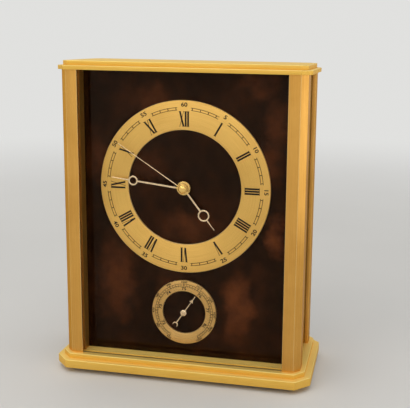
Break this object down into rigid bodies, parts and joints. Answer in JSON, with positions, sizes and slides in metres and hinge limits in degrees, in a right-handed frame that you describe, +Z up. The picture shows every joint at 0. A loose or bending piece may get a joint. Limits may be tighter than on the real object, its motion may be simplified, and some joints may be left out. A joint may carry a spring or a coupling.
{
  "type": "barometer clock",
  "caption": "Brass table clock with chamfered corner posts, a Roman chapter ring over a small aneroid barometer ring on a lacquered panel behind glass, and a hinged back door",
  "frame": {"origin": "centre of the footprint on the standing plane under the feet", "axes": "+Z up, the dial faces -Y, +X to the viewer's right"},
  "size_m": [0.152, 0.068, 0.1826],
  "materials": {
    "gilt_brass": "satin gilt",
    "brushed_brass": "linear brushed",
    "polished_brass": "polished",
    "dial_brass": "fine brushed",
    "hand_brass": "pale gilt",
    "works_brass": "plain",
    "nickel": "nickel plated",
    "steel": "plain",
    "tortoiseshell_lacquer": "high gloss, mottled brown",
    "black_enamel": "printed enamel",
    "front_glass": "clear",
    "rubber": "matte",
    "black_pad": "matte",
    "black_plastic": "moulded",
    "white_plastic": "moulded",
    "grey_plastic": "moulded",
    "circuit_board": "solder mask",
    "copper_wire": "enamelled wire",
    "battery_wrap": "printed sleeve, plain"
  },
  "bodies": {
    "case": {"feet": "rubber", "underside_pad": "black_pad", "base_slab": "gilt_brass", "base_step": "gilt_brass", "post_front_left": "brushed_brass", "post_front_right": "brushed_brass", "post_rear_left": "brushed_brass", "post_rear_right": "brushed_brass", "cornice_lower": "gilt_brass", "cornice_upper": "gilt_brass", "base_screws": "steel", "cornice_screws": "steel", "front_glass": "front_glass", "glass_strip": "rubber", "side_panel_left": "tortoiseshell_lacquer", "side_panel_right": "tortoiseshell_lacquer", "dial_panel": "tortoiseshell_lacquer", "chapter_ring": "dial_brass", "hour_numerals": "black_enamel", "minute_track": "black_enamel", "barometer_ring": "dial_brass", "barometer_scale": "black_enamel", "door_magnet": "steel", "movement_front_shell": "black_plastic", "movement_rear_shell": "black_plastic", "panel_screws": "steel", "mid_plate": "steel", "train_plate": "steel", "circuit_board": "circuit_board", "clock_chip": "black_plastic", "quartz_crystal": "nickel", "drive_coil": "copper_wire", "stator": "steel", "battery": "battery_wrap", "battery_contacts": "nickel", "barometer_can": "works_brass", "barometer_plate": "works_brass", "aneroid_capsule": "nickel", "capsule_spring": "steel"},
    "back_door": {"back_door": "tortoiseshell_lacquer", "door_knob": "polished_brass", "hinge_pins": "steel", "door_keeper": "steel"},
    "second_hand": {"second_wheel": "white_plastic", "second_hand": "hand_brass", "hand_cap": "polished_brass"},
    "intermediate_wheel": {"intermediate_wheel": "white_plastic"},
    "rotor": {"rotor": "steel"},
    "third_wheel": {"third_wheel": "white_plastic"},
    "centre_wheel": {"centre_wheel": "white_plastic"},
    "minute_hand": {"cannon_pinion": "works_brass", "minute_hand": "hand_brass"},
    "motion_wheel": {"motion_wheel": "white_plastic"},
    "hour_hand": {"hour_wheel": "white_plastic", "hour_hand": "hand_brass"},
    "setting_knob": {"setting_knob": "grey_plastic"},
    "barometer_pointer": {"pointer_arbor": "steel", "barometer_pointer": "hand_brass"},
    "sector_lever": {"sector_lever": "works_brass"},
    "adjusting_screw": {"adjusting_screw": "works_brass"}
  },
  "joints": [
    {"name": "back_door_swing", "type": "hinge", "parent": "case", "child": "back_door", "pos_m": [-0.0578, 0.0268, 0], "axis": [0, 0, 1], "range_deg": [0, 100]},
    {"name": "second_hand_turn", "type": "hinge", "parent": "case", "child": "second_hand", "pos_m": [0, 0, 0.1118], "axis": [0, 1, 0], "continuous": true},
    {"name": "intermediate_wheel_turn", "type": "hinge", "parent": "case", "child": "intermediate_wheel", "pos_m": [0.00824, 0, 0.10704], "axis": [0, 1, 0], "continuous": true},
    {"name": "rotor_turn", "type": "hinge", "parent": "case", "child": "rotor", "pos_m": [0.01316, 0, 0.11048], "axis": [0, 1, 0], "continuous": true},
    {"name": "third_wheel_turn", "type": "hinge", "parent": "case", "child": "third_wheel", "pos_m": [0.00459, 0, 0.11975], "axis": [0, 1, 0], "continuous": true},
    {"name": "centre_wheel_turn", "type": "hinge", "parent": "case", "child": "centre_wheel", "pos_m": [0, 0, 0.1118], "axis": [0, 1, 0], "continuous": true},
    {"name": "minute_hand_turn", "type": "hinge", "parent": "case", "child": "minute_hand", "pos_m": [0, 0, 0.1118], "axis": [0, 1, 0], "continuous": true},
    {"name": "motion_wheel_turn", "type": "hinge", "parent": "case", "child": "motion_wheel", "pos_m": [-0.01109, 0, 0.1182], "axis": [0, 1, 0], "continuous": true},
    {"name": "hour_hand_turn", "type": "hinge", "parent": "case", "child": "hour_hand", "pos_m": [0, 0, 0.1118], "axis": [0, 1, 0], "continuous": true},
    {"name": "setting_knob_turn", "type": "hinge", "parent": "case", "child": "setting_knob", "pos_m": [-0.00616, 0, 0.13173], "axis": [0, 1, 0], "continuous": true},
    {"name": "barometer_pointer_turn", "type": "hinge", "parent": "case", "child": "barometer_pointer", "pos_m": [0, 0, 0.0375], "axis": [0, 1, 0], "range_deg": [-184, 116]},
    {"name": "sector_lever_turn", "type": "hinge", "parent": "case", "child": "sector_lever", "pos_m": [0, 0, 0.027], "axis": [0, 1, 0], "range_deg": [-19.5, 30.8]},
    {"name": "adjusting_screw_turn", "type": "hinge", "parent": "case", "child": "adjusting_screw", "pos_m": [0, 0, 0.0375], "axis": [0, 1, 0], "range_deg": [-180, 180]}
  ],
  "couplings": [
    {"joint": "intermediate_wheel_turn", "follows": "second_hand_turn", "ratio": -6},
    {"joint": "rotor_turn", "follows": "second_hand_turn", "ratio": 30},
    {"joint": "third_wheel_turn", "follows": "second_hand_turn", "ratio": -0.13333},
    {"joint": "centre_wheel_turn", "follows": "second_hand_turn", "ratio": 0.016667},
    {"joint": "motion_wheel_turn", "follows": "minute_hand_turn", "ratio": -0.33333},
    {"joint": "hour_hand_turn", "follows": "minute_hand_turn", "ratio": 0.083333},
    {"joint": "setting_knob_turn", "follows": "minute_hand_turn", "ratio": 0.66667},
    {"joint": "sector_lever_turn", "follows": "barometer_pointer_turn", "ratio": -0.16667}
  ]
}
